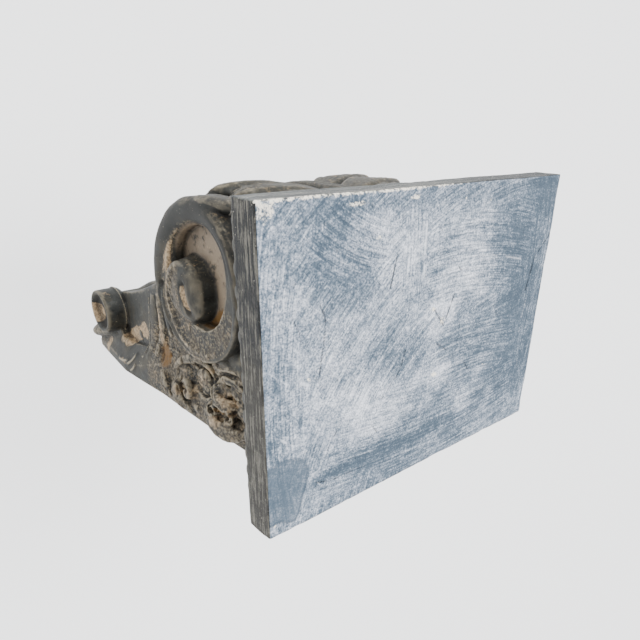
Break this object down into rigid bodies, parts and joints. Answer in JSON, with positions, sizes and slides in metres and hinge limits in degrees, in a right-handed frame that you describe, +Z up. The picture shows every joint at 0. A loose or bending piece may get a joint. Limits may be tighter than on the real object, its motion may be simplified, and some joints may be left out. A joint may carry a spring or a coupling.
{
  "type": "scroll corbel",
  "caption": "Cast plaster corbel: an oblong slab with a gadrooned under-edge on an S-shaped scroll with large volutes, a dished lower roll and acanthus leaves, flat at the back for a wall.",
  "frame": {"origin": "middle of the fixing place on the flat back, 150 mm below the top of the slab", "axes": "+Z up, +Y out of the back into the wall, so the front looks along -Y; X runs across the corbel"},
  "size_m": [0.3, 0.22, 0.4531],
  "materials": {
    "painted_plaster": "worn matt blue-grey paint on cast plaster"
  },
  "bodies": {
    "root": {"corbel": "painted_plaster"}
  },
  "joints": []
}
